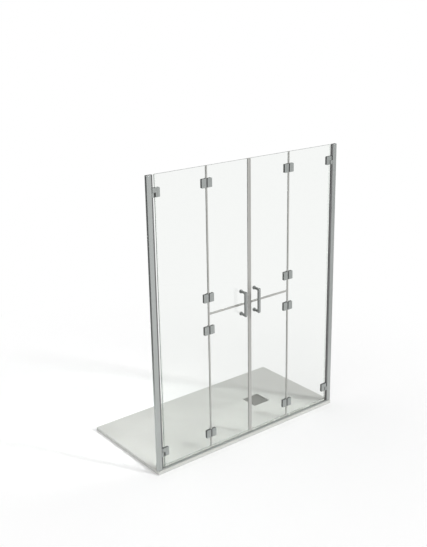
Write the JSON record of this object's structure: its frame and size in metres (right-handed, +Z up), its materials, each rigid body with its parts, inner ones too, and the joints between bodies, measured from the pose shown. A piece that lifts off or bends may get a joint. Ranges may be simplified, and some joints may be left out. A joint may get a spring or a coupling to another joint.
{
  "type": "shower enclosure",
  "caption": "Folding glass shower enclosure for a recess: hinged outer panes, split folding inner leaves, pull handles, wall profiles and a low slab tray with a square drain.",
  "frame": {"origin": "centre of the tray's flat underside", "axes": "+X along the doors from left to right as seen from outside the shower, +Y into the shower away from the doors, +Z up; the doors are at -Y"},
  "size_m": [1.6, 0.8515, 2.025],
  "materials": {
    "pale_stone": "matt stone resin",
    "satin_aluminium": "satin",
    "satin_steel": "fine vertical brushing",
    "brushed_steel": "brushed",
    "dark_cover": "satin",
    "dark_rubber": "matt",
    "clear_glass": "clear",
    "seal_plastic": "matt",
    "clear_seal": "clear"
  },
  "bodies": {
    "fixed_frame": {"tray": "pale_stone", "waste_flange": "brushed_steel", "drain_cover": "dark_cover", "threshold_bar": "satin_aluminium", "wall_profile_left": "satin_aluminium", "profile_gasket_left": "dark_rubber", "wall_hinge_bracket_bottom_left": "satin_steel", "wall_hinge_bracket_top_left": "satin_steel", "wall_profile_right": "satin_aluminium", "profile_gasket_right": "dark_rubber", "wall_hinge_bracket_bottom_right": "satin_steel", "wall_hinge_bracket_top_right": "satin_steel"},
    "outer_door_left": {"outer_pane_left": "clear_glass", "wall_hinge_clamp_bottom_left": "satin_steel", "fold_hinge_outer_lower_bottom_left": "satin_steel", "fold_hinge_pin_lower_bottom_left": "brushed_steel", "fold_hinge_outer_upper_bottom_left": "satin_steel", "fold_hinge_pin_upper_bottom_left": "brushed_steel", "wall_hinge_clamp_top_left": "satin_steel", "fold_hinge_outer_lower_top_left": "satin_steel", "fold_hinge_pin_lower_top_left": "brushed_steel", "fold_hinge_outer_upper_top_left": "satin_steel", "fold_hinge_pin_upper_top_left": "brushed_steel", "fold_seal_left": "seal_plastic", "drip_seal_outer_left": "clear_seal"},
    "inner_leaf_upper_left": {"upper_leaf_left": "clear_glass", "fold_hinge_leaf_upper_bottom_left": "satin_steel", "fold_hinge_leaf_upper_top_left": "satin_steel", "handle_left": "satin_steel", "centre_seal_upper_left": "seal_plastic", "split_seal_left": "seal_plastic"},
    "inner_leaf_lower_left": {"lower_leaf_left": "clear_glass", "fold_hinge_leaf_lower_bottom_left": "satin_steel", "fold_hinge_leaf_lower_top_left": "satin_steel", "centre_seal_lower_left": "seal_plastic", "drip_seal_leaf_left": "clear_seal"},
    "outer_door_right": {"outer_pane_right": "clear_glass", "wall_hinge_clamp_bottom_right": "satin_steel", "fold_hinge_outer_lower_bottom_right": "satin_steel", "fold_hinge_pin_lower_bottom_right": "brushed_steel", "fold_hinge_outer_upper_bottom_right": "satin_steel", "fold_hinge_pin_upper_bottom_right": "brushed_steel", "wall_hinge_clamp_top_right": "satin_steel", "fold_hinge_outer_lower_top_right": "satin_steel", "fold_hinge_pin_lower_top_right": "brushed_steel", "fold_hinge_outer_upper_top_right": "satin_steel", "fold_hinge_pin_upper_top_right": "brushed_steel", "fold_seal_right": "seal_plastic", "drip_seal_outer_right": "clear_seal"},
    "inner_leaf_upper_right": {"upper_leaf_right": "clear_glass", "fold_hinge_leaf_upper_bottom_right": "satin_steel", "fold_hinge_leaf_upper_top_right": "satin_steel", "handle_right": "satin_steel", "centre_seal_upper_right": "seal_plastic", "split_seal_right": "seal_plastic"},
    "inner_leaf_lower_right": {"lower_leaf_right": "clear_glass", "fold_hinge_leaf_lower_bottom_right": "satin_steel", "fold_hinge_leaf_lower_top_right": "satin_steel", "centre_seal_lower_right": "seal_plastic", "drip_seal_leaf_right": "clear_seal"}
  },
  "joints": [
    {"name": "outer_door_left_swing", "type": "hinge", "parent": "fixed_frame", "child": "outer_door_left", "pos_m": [-0.753, -0.384, 0.025], "axis": [0, 0, -1], "range_deg": [0, 90]},
    {"name": "inner_leaf_upper_left_fold", "type": "hinge", "parent": "outer_door_left", "child": "inner_leaf_upper_left", "pos_m": [-0.35, -0.372, 0.025], "axis": [0, 0, 1], "range_deg": [0, 180]},
    {"name": "inner_leaf_lower_left_fold", "type": "hinge", "parent": "outer_door_left", "child": "inner_leaf_lower_left", "pos_m": [-0.35, -0.372, 0.025], "axis": [0, 0, 1], "range_deg": [0, 180]},
    {"name": "outer_door_right_swing", "type": "hinge", "parent": "fixed_frame", "child": "outer_door_right", "pos_m": [0.753, -0.384, 0.025], "axis": [0, 0, 1], "range_deg": [0, 90]},
    {"name": "inner_leaf_upper_right_fold", "type": "hinge", "parent": "outer_door_right", "child": "inner_leaf_upper_right", "pos_m": [0.35, -0.372, 0.025], "axis": [0, 0, -1], "range_deg": [0, 180]},
    {"name": "inner_leaf_lower_right_fold", "type": "hinge", "parent": "outer_door_right", "child": "inner_leaf_lower_right", "pos_m": [0.35, -0.372, 0.025], "axis": [0, 0, -1], "range_deg": [0, 180]}
  ],
  "couplings": [
    {"joint": "inner_leaf_lower_left_fold", "follows": "inner_leaf_upper_left_fold", "ratio": 1},
    {"joint": "inner_leaf_lower_right_fold", "follows": "inner_leaf_upper_right_fold", "ratio": 1}
  ]
}
